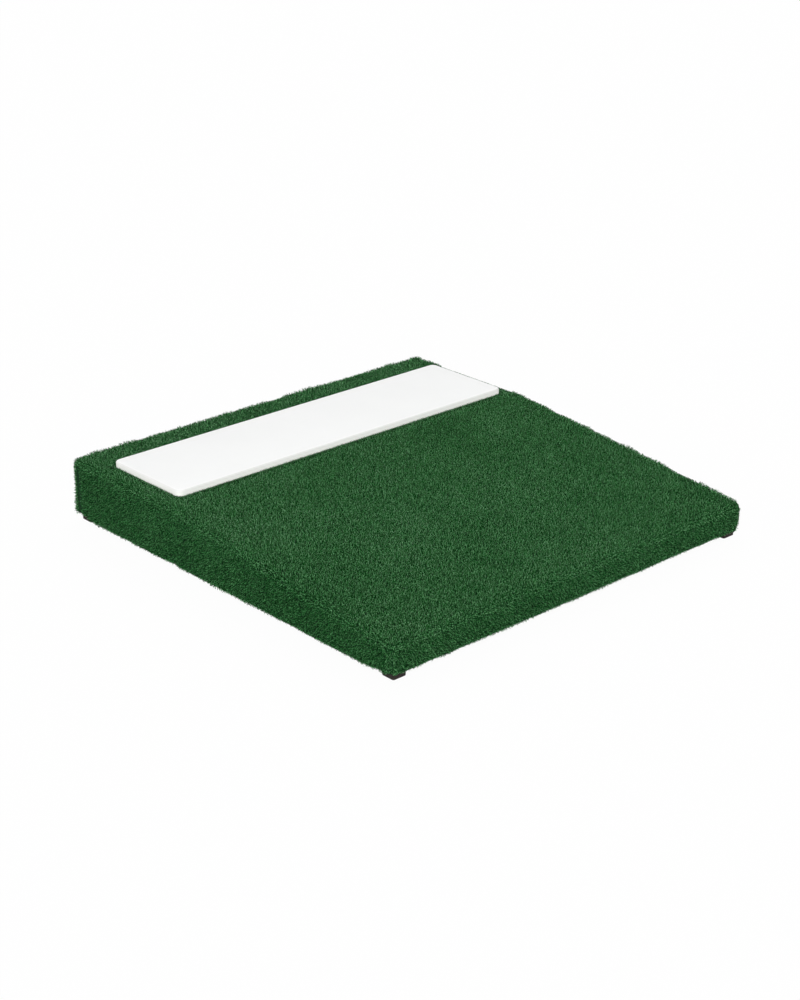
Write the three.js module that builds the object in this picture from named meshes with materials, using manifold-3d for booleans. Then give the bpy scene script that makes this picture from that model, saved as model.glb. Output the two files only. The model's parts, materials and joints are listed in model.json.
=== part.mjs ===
// Portable pitching mound: a wooden ramp wrapped in green turf, with a white pitching rubber bolted to its
// level plateau and a rubber foot under each corner.
// Millimetres, +Z up. The origin is on the floor under the middle of the mound, and the low front faces -Y.

import * as THREE from 'three';
import { mergeVertices } from 'three/addons/utils/BufferGeometryUtils.js';
import Module from 'manifold-3d';

const wasm = await Module();
wasm.setup();

// Gap left between pieces that touch
const CLEARANCE = 0.3;

// Pitching rubber
const RUBBER_LENGTH = 609.6; // across the mound
const RUBBER_WIDTH = 152.4; // front to back
const RUBBER_THICKNESS = 16;
const RUBBER_CORNER_RADIUS = 9;
const RUBBER_EDGE_RADIUS = 2.5; // round of its top edge
const RUBBER_SIDE_MARGIN = 25.2; // turf left at each end of the rubber
const RUBBER_SETBACK = 66.6; // from the back of the turf
const RUBBER_BED = 2.3; // turf crushed under the rubber

// Turf cover, measured to the tips of the pile
const TURF_THICKNESS = 9;
const HEM_THICKNESS = 5; // where the turf is turned under the rails
const HEM_WIDTH = 34;
const TURF_EDGE_RADIUS = 9; // round of the pile over the side edges
const TURF_EDGE_EASE = 2; // how much softer the front and back edges are
const RIDGE_RADIUS = 150; // bend of the turf between plateau and slope

// Wooden ramp
const LEVEL_STRIP = 15; // level wood in front of the rubber
const SLOPE_RUN = 436; // from the ridge of the rails to the front of the turf
const BACK_RAIL_HEIGHT = 60;
const FRONT_RAIL_HEIGHT = 15;
const RAIL_WIDTH = 38;
const STRINGER_WIDTH = 38;
const RIDGE_BLOCK_DEPTH = 38;
const RIDGE_BLOCK_HEIGHT = 36;
const PANEL_THICKNESS = 12;

// Bolts that hold the rubber, with their washers and threaded inserts
const BOLT_DIAMETER = 8;
const BOLT_HEAD_FLATS = 13;
const BOLT_HEAD_HEIGHT = 5.3;
const BOLT_ENGAGEMENT = 8; // length inside the rubber
const BOLT_END_DISTANCE = 70; // from the ends of the rubber
const BOLT_EDGE_DISTANCE = 31; // from the long edges of the rubber
const BOLT_WASHER_DIAMETER = 24;
const BOLT_WASHER_THICKNESS = 2;
const INSERT_WALL = 2.2;
const INSERT_HEIGHT = 12;
const INSERT_RIM = 3; // how far its flange stands out
const INSERT_FLANGE = 2;

// Wood screws
const SCREW_DIAMETER = 4;
const SCREW_HEAD_DIAMETER = 8;
const SCREW_HEAD_HEIGHT = 2.4;
const SCREW_TIP = 5;
const SCREW_CROWN = 3; // flat of a pan head, as a radius
const SCREW_SLOT_WIDTH = 1.1;
const SCREW_SLOT_LENGTH = 4.4;
const SCREW_SLOT_DEPTH = 1.4;
const DECK_SCREW_LENGTH = 25;
const FRAME_SCREW_LENGTH = 60;
const DECK_SCREW_INSET = 26; // from the rails and the ridge
const CORNER_SCREW_SPREAD = 23; // between the two screws of a back corner

// Feet
const FOOT_SIZE = 22;
const FOOT_HEIGHT = 9.5;
const FOOT_CORNER_RADIUS = 3;
const FOOT_SIDE_INSET = 8.5; // from the tips of the pile
const FOOT_END_INSET = 4;
const FOOT_PRESS = 2.5; // how deep the foot sinks into the hem
const FOOT_RECESS_DEPTH = 5;
const FOOT_WASHER_DIAMETER = 12;
const FOOT_WASHER_THICKNESS = 1.2;
const FOOT_SCREW_LENGTH = 16;

// Facets
const ROUND_SIDES = 16;
const SCREW_SIDES = 8;
const ARC_STEPS = 2;
const BEVEL_STEPS = 3;
const MERGE_DISTANCE = 1e-4;

// Places worked out from the sizes above
const ridgeToBack = LEVEL_STRIP + RUBBER_WIDTH + RUBBER_SETBACK;
const halfLength = (SLOPE_RUN + ridgeToBack) / 2;
const halfWidth = RUBBER_LENGTH / 2 + RUBBER_SIDE_MARGIN;
const woodHalfLength = halfLength - TURF_THICKNESS;
const woodHalfWidth = halfWidth - TURF_THICKNESS;
const railOuterX = woodHalfWidth - CLEARANCE;
const railOuterY = woodHalfLength - CLEARANCE;
const railInnerX = railOuterX - RAIL_WIDTH;
const railInnerY = railOuterY - RAIL_WIDTH;
const railMiddleX = railOuterX - RAIL_WIDTH / 2;
const railMiddleY = railOuterY - RAIL_WIDTH / 2;
const bayWidth = (2 * railInnerX - 2 * STRINGER_WIDTH) / 3;
const stringerX = (bayWidth + STRINGER_WIDTH) / 2;
const ridgeY = halfLength - ridgeToBack;
const hemBottom = FOOT_HEIGHT - FOOT_PRESS;
const hemTop = hemBottom + HEM_THICKNESS;
const railBottom = hemTop + CLEARANCE;
const railTop = railBottom + BACK_RAIL_HEIGHT;
const slope = Math.atan2(BACK_RAIL_HEIGHT - FRONT_RAIL_HEIGHT, ridgeY + railOuterY);
const panelLow = CLEARANCE;
const panelHigh = panelLow + PANEL_THICKNESS;
const turfLow = panelHigh + CLEARANCE;
const turfHigh = turfLow + TURF_THICKNESS;
const rubberY = halfLength - RUBBER_SETBACK - RUBBER_WIDTH / 2;
const rubberBedTop = railTop + turfLow + RUBBER_BED;
const rubberBottom = rubberBedTop + CLEARANCE;
const rubberTop = rubberBottom + RUBBER_THICKNESS;
const deckTop = railTop + panelHigh;
const bolts = {
  x: RUBBER_LENGTH / 2 - BOLT_END_DISTANCE,
  y: RUBBER_WIDTH / 2 - BOLT_EDGE_DISTANCE,
  washerTop: railTop + panelLow - CLEARANCE,
};
bolts.headTop = bolts.washerTop - BOLT_WASHER_THICKNESS - CLEARANCE;
bolts.hole = BOLT_DIAMETER / 2 + CLEARANCE;
const insertRadius = bolts.hole + INSERT_WALL;
const foot = {
  x: halfWidth - FOOT_SIDE_INSET - FOOT_SIZE / 2,
  y: halfLength - FOOT_END_INSET - FOOT_SIZE / 2,
  washerTop: FOOT_RECESS_DEPTH - CLEARANCE,
};
foot.headTop = foot.washerTop - FOOT_WASHER_THICKNESS - CLEARANCE;

// The ramp's side profile. A lift of 0 follows the tops of the rails, and a larger one a layer above them.
function ridgeAt(lift) {
  return ridgeY - lift * Math.tan(slope / 2);
}

function heightAt(y, lift) {
  const run = Math.max(0, ridgeAt(lift) - y);
  return railTop + lift - run * Math.tan(slope);
}

// Solids: joining and cutting closed meshes
function toSolid(geometry) {
  const bare = geometry.clone();
  bare.deleteAttribute('normal');
  bare.deleteAttribute('uv');
  const merged = mergeVertices(bare, MERGE_DISTANCE);
  const corners = merged.index.array;
  const kept = [];
  for (let i = 0; i < corners.length; i += 3) {
    const [a, b, c] = corners.slice(i, i + 3);
    if (a !== b && b !== c && c !== a) {
      kept.push(a, b, c);
    }
  }
  const mesh = new wasm.Mesh({
    numProp: 3,
    vertProperties: new Float32Array(merged.attributes.position.array),
    triVerts: new Uint32Array(kept),
  });
  return new wasm.Manifold(mesh);
}

function toGeometry(solid) {
  const mesh = solid.getMesh();
  const geometry = new THREE.BufferGeometry();
  geometry.setAttribute('position', new THREE.BufferAttribute(mesh.vertProperties, mesh.numProp));
  geometry.setIndex(new THREE.BufferAttribute(mesh.triVerts, 1));
  geometry.computeVertexNormals();
  return geometry;
}

function cut(geometry, tools) {
  const solid = tools.reduce((rest, tool) => rest.subtract(toSolid(tool)), toSolid(geometry));
  return toGeometry(solid);
}

// Basic shapes
function box(x, y, z) {
  const geometry = new THREE.BoxGeometry(x[1] - x[0], y[1] - y[0], z[1] - z[0]);
  return geometry.translate((x[0] + x[1]) / 2, (y[0] + y[1]) / 2, (z[0] + z[1]) / 2);
}

function roundedRectangle(length, width, radius) {
  const x = length / 2;
  const y = width / 2;
  const shape = new THREE.Shape();
  shape.absarc(x - radius, y - radius, radius, 0, Math.PI / 2);
  shape.absarc(radius - x, y - radius, radius, Math.PI / 2, Math.PI);
  shape.absarc(radius - x, radius - y, radius, Math.PI, 1.5 * Math.PI);
  shape.absarc(x - radius, radius - y, radius, 1.5 * Math.PI, 2 * Math.PI);
  shape.closePath();
  return shape;
}

function slab(shape, low, high) {
  const settings = { depth: high - low, bevelEnabled: false, curveSegments: ARC_STEPS };
  return new THREE.ExtrudeGeometry(shape, settings).translate(0, 0, low);
}

// A polygon of [y, z] points, stretched across the mound from x = low to x = high
const acrossTheMound = new THREE.Matrix4().makeBasis(
  new THREE.Vector3(0, 1, 0),
  new THREE.Vector3(0, 0, 1),
  new THREE.Vector3(1, 0, 0),
);

function beam(points, low, high) {
  const shape = new THREE.Shape(points.map(([y, z]) => new THREE.Vector2(y, z)));
  return slab(shape, low, high).applyMatrix4(acrossTheMound);
}

// A [radius, height] profile turned round the Z axis
function turned(profile, sides) {
  const points = profile.map(([r, z]) => new THREE.Vector2(r, z));
  return new THREE.LatheGeometry(points, sides).rotateX(Math.PI / 2);
}

function peg(radius, low, high, sides = ROUND_SIDES) {
  return turned([[0, low], [radius, low], [radius, high], [0, high]], sides);
}

function ring(inner, outer, low, high) {
  return turned([[inner, low], [outer, low], [outer, high], [inner, high], [inner, low]], ROUND_SIDES);
}

// Wood screws, with the top of the head at the origin and the tip below it
function countersunkScrew(length, spare = 0) {
  const shank = SCREW_DIAMETER / 2 + spare;
  const head = SCREW_HEAD_DIAMETER / 2 + spare;
  return turned([
    [0, -length - spare],
    [shank, SCREW_TIP - length - spare],
    [shank, -SCREW_HEAD_HEIGHT - spare],
    [head, -spare],
    [head, spare],
    [0, spare],
  ], SCREW_SIDES);
}

function panHeadScrew(length) {
  const shank = SCREW_DIAMETER / 2;
  const head = SCREW_HEAD_DIAMETER / 2;
  const under = -SCREW_HEAD_HEIGHT;
  return turned([
    [0, under - length],
    [shank, under - length + SCREW_TIP],
    [shank, under],
    [head, under],
    [head, under / 2],
    [SCREW_CROWN, 0],
    [0, 0],
  ], SCREW_SIDES);
}

function crossRecess() {
  const long = [-SCREW_SLOT_LENGTH / 2, SCREW_SLOT_LENGTH / 2];
  const narrow = [-SCREW_SLOT_WIDTH / 2, SCREW_SLOT_WIDTH / 2];
  const deep = [-SCREW_SLOT_DEPTH, SCREW_SLOT_DEPTH];
  return [box(long, narrow, deep), box(narrow, long, deep)];
}

// Where each screw sits: the middle of its head and the direction that the head faces
const up = new THREE.Vector3(0, 0, 1);
const slopeUp = new THREE.Vector3(0, -Math.sin(slope), Math.cos(slope));

function placed(geometry, place) {
  const turn = new THREE.Quaternion().setFromUnitVectors(up, place.facing);
  const matrix = new THREE.Matrix4().compose(place.at, turn, new THREE.Vector3(1, 1, 1));
  return geometry.clone().applyMatrix4(matrix);
}

const sides = { left: -1, right: 1 };
const ends = { back: 1, front: -1 };
const rows = {
  plateau_back: { y: railInnerY - DECK_SCREW_INSET, facing: up },
  plateau_front: { y: ridgeY + DECK_SCREW_INSET, facing: up },
  slope_back: { y: ridgeY - DECK_SCREW_INSET, facing: slopeUp },
  slope_front: { y: -railInnerY + DECK_SCREW_INSET, facing: slopeUp },
};
const middleRows = {
  plateau: { y: (rows.plateau_back.y + rows.plateau_front.y) / 2, facing: up },
  slope: { y: (rows.slope_back.y + rows.slope_front.y) / 2, facing: slopeUp },
};

function deckScrewPlace(x, row) {
  return { at: new THREE.Vector3(x, row.y, heightAt(row.y, panelHigh)), facing: row.facing };
}

const railDeckScrews = {};
const stringerDeckScrews = {};
const cornerScrews = {};
const stringerScrews = {};
for (const [side, sign] of Object.entries(sides)) {
  for (const [row, spot] of Object.entries(rows)) {
    railDeckScrews[`${row}_${side}`] = deckScrewPlace(sign * railMiddleX, spot);
  }
  for (const [row, spot] of Object.entries(middleRows)) {
    stringerDeckScrews[`${row}_${side}_stringer`] = deckScrewPlace(sign * stringerX, spot);
  }
  const outwards = new THREE.Vector3(sign, 0, 0);
  for (const [name, step] of Object.entries({ lower: -0.5, upper: 0.5 })) {
    const z = railBottom + BACK_RAIL_HEIGHT / 2 + step * CORNER_SCREW_SPREAD;
    const at = new THREE.Vector3(sign * railOuterX, railMiddleY, z);
    cornerScrews[`back_${side}_${name}`] = { at, facing: outwards };
  }
  const frontZ = railBottom + FRONT_RAIL_HEIGHT / 2;
  cornerScrews[`front_${side}`] = {
    at: new THREE.Vector3(sign * railOuterX, -railMiddleY, frontZ),
    facing: outwards,
  };
  for (const [end, way] of Object.entries(ends)) {
    const height = end === 'back' ? BACK_RAIL_HEIGHT : FRONT_RAIL_HEIGHT;
    stringerScrews[`${end}_${side}`] = {
      at: new THREE.Vector3(sign * stringerX, way * railOuterY, railBottom + height / 2),
      facing: new THREE.Vector3(0, way, 0),
    };
  }
}

function screwHoles(groups, length) {
  const tool = countersunkScrew(length, CLEARANCE);
  return groups.flatMap(Object.values).map((place) => placed(tool, place));
}

const deckHoles = screwHoles([railDeckScrews, stringerDeckScrews], DECK_SCREW_LENGTH);
const frameHoles = screwHoles([cornerScrews, stringerScrews], FRAME_SCREW_LENGTH);

function fourAround(x, y, centreY, make) {
  const found = [];
  for (const [end, way] of Object.entries(ends)) {
    for (const [side, sign] of Object.entries(sides)) {
      found.push(make(`${end}_${side}`, sign * x, centreY + way * y));
    }
  }
  return found;
}

function pegsAt(x, y, centreY, radius, low, high) {
  return fourAround(x, y, centreY, (name, px, py) => peg(radius, low, high).translate(px, py, 0));
}

const footScrewTip = foot.headTop + FOOT_SCREW_LENGTH;
const footScrewHole = SCREW_DIAMETER / 2 + CLEARANCE;
const footPilots = pegsAt(foot.x, foot.y, 0, footScrewHole, hemBottom, footScrewTip + CLEARANCE);
const boltHoles = pegsAt(bolts.x, bolts.y, rubberY, bolts.hole, bolts.headTop, rubberTop - CLEARANCE);

// Wooden ramp
function rampProfile(low, back, front) {
  return [
    [front, low],
    [back, low],
    [back, heightAt(back, 0)],
    [ridgeY, railTop],
    [front, heightAt(front, 0)],
  ];
}

function sideRail(sign) {
  const inner = sign * railInnerX;
  const outer = sign * railOuterX;
  const profile = rampProfile(railBottom, railOuterY, -railOuterY);
  const rail = beam(profile, Math.min(inner, outer), Math.max(inner, outer));
  return cut(rail, [...deckHoles, ...frameHoles, ...footPilots]);
}

function stringer(sign) {
  const middle = sign * stringerX;
  const half = STRINGER_WIDTH / 2;
  const end = railInnerY - CLEARANCE;
  const profile = rampProfile(railBottom, end, -end);
  return cut(beam(profile, middle - half, middle + half), [...deckHoles, ...frameHoles]);
}

function backRail() {
  const end = railInnerX - CLEARANCE;
  const rail = box([-end, end], [railInnerY, railOuterY], [railBottom, railTop]);
  return cut(rail, frameHoles);
}

function frontRail() {
  const end = railInnerX - CLEARANCE;
  const profile = [
    [-railOuterY, railBottom],
    [-railInnerY, railBottom],
    [-railInnerY, heightAt(-railInnerY, 0)],
    [-railOuterY, heightAt(-railOuterY, 0)],
  ];
  return cut(beam(profile, -end, end), frameHoles);
}

function ridgeBlock() {
  const half = bayWidth / 2 - CLEARANCE;
  const back = ridgeY + RIDGE_BLOCK_DEPTH / 2;
  const front = ridgeY - RIDGE_BLOCK_DEPTH / 2;
  return beam(rampProfile(railTop - RIDGE_BLOCK_HEIGHT, back, front), -half, half);
}

function plateauPanel() {
  const gap = CLEARANCE / 2;
  const profile = [
    [ridgeAt(panelLow) + gap, railTop + panelLow],
    [railOuterY, railTop + panelLow],
    [railOuterY, deckTop],
    [ridgeAt(panelHigh) + gap, deckTop],
  ];
  return cut(beam(profile, -railOuterX, railOuterX), [...deckHoles, ...boltHoles]);
}

function slopePanel() {
  const gap = CLEARANCE / 2;
  const front = -railOuterY;
  const profile = [
    [front, heightAt(front, panelLow)],
    [ridgeAt(panelLow) - gap, railTop + panelLow],
    [ridgeAt(panelHigh) - gap, deckTop],
    [front, heightAt(front, panelHigh)],
  ];
  return cut(beam(profile, -railOuterX, railOuterX), deckHoles);
}

// Turf cover
function roundedPath(corners) {
  const shape = new THREE.Shape();
  corners.forEach(({ y, z, radius }, i) => {
    const here = new THREE.Vector2(y, z);
    const before = corners.at(i - 1);
    const after = corners[(i + 1) % corners.length];
    const back = new THREE.Vector2(before.y, before.z).sub(here).normalize();
    const ahead = new THREE.Vector2(after.y, after.z).sub(here).normalize();
    const half = Math.acos(THREE.MathUtils.clamp(back.dot(ahead), -1, 1)) / 2;
    const inwards = back.clone().add(ahead).normalize();
    const centre = here.clone().addScaledVector(inwards, radius / Math.sin(half));
    const start = here.clone().addScaledVector(back, radius / Math.tan(half)).sub(centre);
    const stop = here.clone().addScaledVector(ahead, radius / Math.tan(half)).sub(centre);
    shape.absarc(centre.x, centre.y, radius, start.angle(), stop.angle(), false);
  });
  shape.closePath();
  return shape;
}

const endRadius = TURF_EDGE_RADIUS + TURF_EDGE_EASE;
const turfBelow = hemBottom - 2 * endRadius; // the block is shaped this deep, then trimmed at the hem

function turfOutside() {
  const shape = roundedPath([
    { y: -halfLength, z: turfBelow, radius: endRadius },
    { y: halfLength, z: turfBelow, radius: endRadius },
    { y: halfLength, z: railTop + turfHigh, radius: endRadius },
    { y: ridgeAt(turfHigh), z: railTop + turfHigh, radius: RIDGE_RADIUS },
    { y: -halfLength, z: heightAt(-halfLength, turfHigh), radius: endRadius },
  ]);
  const straight = halfWidth - TURF_EDGE_RADIUS;
  const settings = {
    depth: 2 * straight,
    curveSegments: ARC_STEPS,
    bevelThickness: TURF_EDGE_RADIUS,
    bevelSize: TURF_EDGE_RADIUS,
    bevelOffset: -TURF_EDGE_RADIUS,
    bevelSegments: BEVEL_STEPS,
  };
  const whole = new THREE.ExtrudeGeometry(shape, settings).translate(0, 0, -straight);
  return whole.applyMatrix4(acrossTheMound);
}

function turfCover() {
  const pastWidth = [-2 * halfWidth, 2 * halfWidth];
  const pastLength = [-2 * halfLength, 2 * halfLength];
  const openX = woodHalfWidth - HEM_WIDTH;
  const openY = woodHalfLength - HEM_WIDTH;
  const woodSpace = [
    [-woodHalfLength, hemTop],
    [woodHalfLength, hemTop],
    [woodHalfLength, railTop + turfLow],
    [ridgeAt(turfLow), railTop + turfLow],
    [-woodHalfLength, heightAt(-woodHalfLength, turfLow)],
  ];
  const pocketShape = roundedRectangle(
    RUBBER_LENGTH + 2 * CLEARANCE,
    RUBBER_WIDTH + 2 * CLEARANCE,
    RUBBER_CORNER_RADIUS + CLEARANCE,
  );
  const footSpace = slab(footShape(CLEARANCE), 0, FOOT_HEIGHT + CLEARANCE);
  return cut(turfOutside(), [
    box(pastWidth, pastLength, [turfBelow - endRadius, hemBottom]),
    beam(woodSpace, -woodHalfWidth, woodHalfWidth),
    box([-openX, openX], [-openY, openY], [hemBottom - HEM_THICKNESS, hemTop + HEM_THICKNESS]),
    slab(pocketShape, rubberBedTop, rubberTop).translate(0, rubberY, 0),
    ...boltHoles,
    ...footPilots,
    ...fourAround(foot.x, foot.y, 0, (name, px, py) => footSpace.clone().translate(px, py, 0)),
  ]);
}

// Pitching rubber and what holds it
function pitchingRubber() {
  const shape = roundedRectangle(RUBBER_LENGTH, RUBBER_WIDTH, RUBBER_CORNER_RADIUS);
  const body = new THREE.ExtrudeGeometry(shape, {
    depth: RUBBER_THICKNESS - RUBBER_EDGE_RADIUS,
    curveSegments: ARC_STEPS,
    bevelThickness: RUBBER_EDGE_RADIUS,
    bevelSize: RUBBER_EDGE_RADIUS,
    bevelOffset: -RUBBER_EDGE_RADIUS,
    bevelSegments: BEVEL_STEPS,
  }).translate(0, rubberY, rubberBottom);
  const outerX = [-RUBBER_LENGTH, RUBBER_LENGTH];
  const outerY = [rubberY - RUBBER_WIDTH, rubberY + RUBBER_WIDTH];
  const underside = box(outerX, outerY, [rubberBottom - RUBBER_THICKNESS, rubberBottom]);
  const socket = insertProfile(0, CLEARANCE);
  const sockets = fourAround(bolts.x, bolts.y, rubberY, (name, px, py) => (
    turned(socket, ROUND_SIDES).translate(px, py, rubberBottom)
  ));
  return cut(body, [underside, ...sockets]);
}

// The flanged insert stands on the underside of the rubber.
// With no bore it is the socket that the insert is moulded into.
function insertProfile(bore, spare) {
  const flange = insertRadius + INSERT_RIM + spare;
  const outline = [
    [bore, -spare],
    [flange, -spare],
    [flange, INSERT_FLANGE + spare],
    [insertRadius + spare, INSERT_FLANGE + spare],
    [insertRadius + spare, INSERT_HEIGHT + spare],
    [bore, INSERT_HEIGHT + spare],
  ];
  return bore > 0 ? [...outline, outline[0]] : outline;
}

function hexBolt() {
  const headRadius = BOLT_HEAD_FLATS / Math.sqrt(3);
  const shankTop = rubberBottom + BOLT_ENGAGEMENT - bolts.headTop;
  const head = peg(headRadius, -BOLT_HEAD_HEIGHT, 0, 6);
  const shank = peg(BOLT_DIAMETER / 2, -BOLT_HEAD_HEIGHT / 2, shankTop);
  return toGeometry(toSolid(head).add(toSolid(shank)));
}

// Feet
function footShape(spare) {
  const size = FOOT_SIZE + 2 * spare;
  return roundedRectangle(size, size, FOOT_CORNER_RADIUS + spare);
}

function rubberFoot() {
  const recess = FOOT_WASHER_DIAMETER / 2 + CLEARANCE;
  return cut(slab(footShape(0), 0, FOOT_HEIGHT), [
    peg(recess, -CLEARANCE, FOOT_RECESS_DEPTH),
    peg(footScrewHole, 0, FOOT_HEIGHT + CLEARANCE),
  ]);
}

// Materials
function finish(color, roughness, metalness) {
  return new THREE.MeshStandardMaterial({ color, roughness, metalness });
}

const turfGreen = finish(0x2c5432, 0.95, 0);
const whiteRubber = finish(0xf4f4f0, 0.55, 0);
const blackRubber = finish(0x1c1c1c, 0.8, 0);
const plywood = finish(0xc9a877, 0.7, 0);
const lumber = finish(0xd8b98a, 0.75, 0);
const zincSteel = finish(0xb8bcc0, 0.35, 1);
const brassFinish = finish(0xb5944a, 0.35, 1);

// Assembly
const mound = new THREE.Group();

function add(name, geometry, material, x = 0, y = 0, z = 0) {
  const mesh = new THREE.Mesh(geometry, material);
  mesh.name = name;
  mesh.position.set(x, y, z);
  mound.add(mesh);
  return mesh;
}

add('turf_cover', turfCover(), turfGreen);
add('pitching_rubber', pitchingRubber(), whiteRubber);
add('plateau_panel', plateauPanel(), plywood);
add('slope_panel', slopePanel(), plywood);
add('back_rail', backRail(), lumber);
add('front_rail', frontRail(), lumber);
for (const [side, sign] of Object.entries(sides)) {
  add(`${side}_side_rail`, sideRail(sign), lumber);
  add(`${side}_stringer`, stringer(sign), lumber);
}
const blockStep = bayWidth + STRINGER_WIDTH;
const block = ridgeBlock();
add('left_ridge_block', block, lumber, -blockStep);
add('middle_ridge_block', block, lumber);
add('right_ridge_block', block, lumber, blockStep);

const insert = turned(insertProfile(bolts.hole, 0), ROUND_SIDES);
const bolt = hexBolt();
const boltWasher = ring(bolts.hole, BOLT_WASHER_DIAMETER / 2, -BOLT_WASHER_THICKNESS, 0);
fourAround(bolts.x, bolts.y, rubberY, (name, x, y) => {
  add(`rubber_insert_${name}`, insert, brassFinish, x, y, rubberBottom);
  add(`rubber_bolt_${name}`, bolt, zincSteel, x, y, bolts.headTop);
  add(`bolt_washer_${name}`, boltWasher, zincSteel, x, y, bolts.washerTop);
});

const footPad = rubberFoot();
const footWasher = ring(footScrewHole, FOOT_WASHER_DIAMETER / 2, -FOOT_WASHER_THICKNESS, 0);
const footScrew = cut(panHeadScrew(FOOT_SCREW_LENGTH), crossRecess());
fourAround(foot.x, foot.y, 0, (name, x, y) => {
  add(`foot_${name}`, footPad, blackRubber, x, y);
  add(`foot_washer_${name}`, footWasher, zincSteel, x, y, foot.washerTop);
  const screw = add(`foot_screw_${name}`, footScrew, zincSteel, x, y, foot.headTop - SCREW_HEAD_HEIGHT);
  screw.rotation.x = Math.PI;
});

function addScrews(kind, places, length) {
  const geometry = cut(countersunkScrew(length), crossRecess());
  for (const [name, place] of Object.entries(places)) {
    const screw = add(`${kind}_${name}`, geometry, zincSteel, ...place.at.toArray());
    screw.quaternion.setFromUnitVectors(up, place.facing);
  }
}

addScrews('frame_screw', cornerScrews, FRAME_SCREW_LENGTH);
addScrews('stringer_screw', stringerScrews, FRAME_SCREW_LENGTH);
addScrews('deck_screw', railDeckScrews, DECK_SCREW_LENGTH);
addScrews('deck_screw', stringerDeckScrews, DECK_SCREW_LENGTH);

export default mound;
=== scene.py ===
# %% [markdown]
# # A portable pitching mound
# The mound is a low wooden ramp wrapped in green turf. A white pitching rubber is bolted across its
# level top, and a small rubber foot sits under each corner. The construction comes in finished, at its
# real size, so this lesson only dresses it: it plants the pile of the turf, moulds the rubber, and
# gives the wood and the metal underneath their finish. All lengths are in metres.

# %% Load the construction
import json
import math
import random

import bmesh
import bpy
from mathutils import Euler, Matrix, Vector

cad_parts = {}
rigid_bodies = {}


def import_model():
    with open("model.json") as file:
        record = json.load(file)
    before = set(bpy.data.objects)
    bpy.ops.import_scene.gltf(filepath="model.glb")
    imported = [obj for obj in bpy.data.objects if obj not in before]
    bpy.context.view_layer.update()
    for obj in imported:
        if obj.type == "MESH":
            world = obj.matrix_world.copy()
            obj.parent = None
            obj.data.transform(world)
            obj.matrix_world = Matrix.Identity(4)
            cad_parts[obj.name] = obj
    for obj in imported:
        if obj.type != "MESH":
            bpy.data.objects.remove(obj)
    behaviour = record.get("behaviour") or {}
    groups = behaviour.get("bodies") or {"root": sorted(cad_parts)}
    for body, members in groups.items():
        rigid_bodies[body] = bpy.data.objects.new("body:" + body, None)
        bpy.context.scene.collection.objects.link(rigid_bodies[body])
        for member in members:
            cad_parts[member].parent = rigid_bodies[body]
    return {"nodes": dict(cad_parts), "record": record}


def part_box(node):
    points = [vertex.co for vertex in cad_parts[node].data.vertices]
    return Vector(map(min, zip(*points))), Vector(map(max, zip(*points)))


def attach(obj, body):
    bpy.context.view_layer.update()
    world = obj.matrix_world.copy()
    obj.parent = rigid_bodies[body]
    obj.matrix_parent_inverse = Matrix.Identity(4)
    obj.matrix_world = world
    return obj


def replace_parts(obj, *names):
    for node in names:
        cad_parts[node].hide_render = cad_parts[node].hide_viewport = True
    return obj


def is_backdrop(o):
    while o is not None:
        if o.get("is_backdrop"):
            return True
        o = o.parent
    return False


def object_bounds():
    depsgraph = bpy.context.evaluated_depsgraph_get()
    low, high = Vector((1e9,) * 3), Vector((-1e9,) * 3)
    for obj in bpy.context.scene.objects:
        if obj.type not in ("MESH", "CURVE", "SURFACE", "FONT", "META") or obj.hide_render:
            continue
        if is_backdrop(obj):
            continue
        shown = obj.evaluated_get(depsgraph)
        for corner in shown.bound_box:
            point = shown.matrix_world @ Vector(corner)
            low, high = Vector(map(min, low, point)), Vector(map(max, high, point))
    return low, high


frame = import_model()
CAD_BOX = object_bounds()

MM = 0.001
NEAR = 0.1 * MM  # this close counts as the same place
ALONG = 0.9  # a direction with this much of an axis in it runs along that axis
bpy.context.scene.view_settings.view_transform = "Standard"
print("pieces in the construction:", len(frame["nodes"]))

# %% [markdown]
# ## The camera
# The mound is seen from its low left corner, from well above the floor. The camera stands nearly three
# metres away with a long lens, which keeps the far edges almost parallel to the near ones. Its place
# and its two turns were fitted to the corners of the mound, whose real size is known.

# %% Camera
CAMERA_PLACE = (-1.749, -1.914, 1.1403)
CAMERA_TURN = math.radians(-42.26)
CAMERA_TILT = math.radians(22.98)
CAMERA_LENS = 72.1

camera_data = bpy.data.cameras.new("camera")
camera_data.lens = CAMERA_LENS
camera = bpy.data.objects.new("camera", camera_data)
camera.location = CAMERA_PLACE
camera.rotation_euler = (math.pi / 2 - CAMERA_TILT, 0, CAMERA_TURN)
bpy.context.scene.collection.objects.link(camera)
bpy.context.scene.camera = camera
print("camera at", tuple(round(x, 3) for x in camera.location))

# %% [markdown]
# ## The studio
# Turf is a dull, broken surface, so it wants broad soft light. A white sky does most of the work, and
# two large lamps give the pile its shadows. The floor and the sky look plain white to the camera, and
# to shiny metal, but they light the mound no more than a white room would.


# %% Helpers for node trees
def add_node(tree, kind, **settings):
    node = tree.nodes.new(kind)
    for name, value in settings.items():
        setattr(node, name, value)
    return node


def set_inputs(node, **values):
    for name, value in values.items():
        node.inputs[name.replace("_", " ")].default_value = value
    return node


def seen_directly(tree):
    """1 for the camera, shiny surfaces and clear ones, and 0 for light that falls on the mound."""
    rays = add_node(tree, "ShaderNodeLightPath")
    total = rays.outputs["Is Camera Ray"]
    for name in ("Is Glossy Ray", "Is Transmission Ray"):
        larger = add_node(tree, "ShaderNodeMath", operation="MAXIMUM")
        tree.links.new(total, larger.inputs[0])
        tree.links.new(rays.outputs[name], larger.inputs[1])
        total = larger.outputs[0]
    return total


# %% Sky
SKY_LIGHT = 0.39

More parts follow.
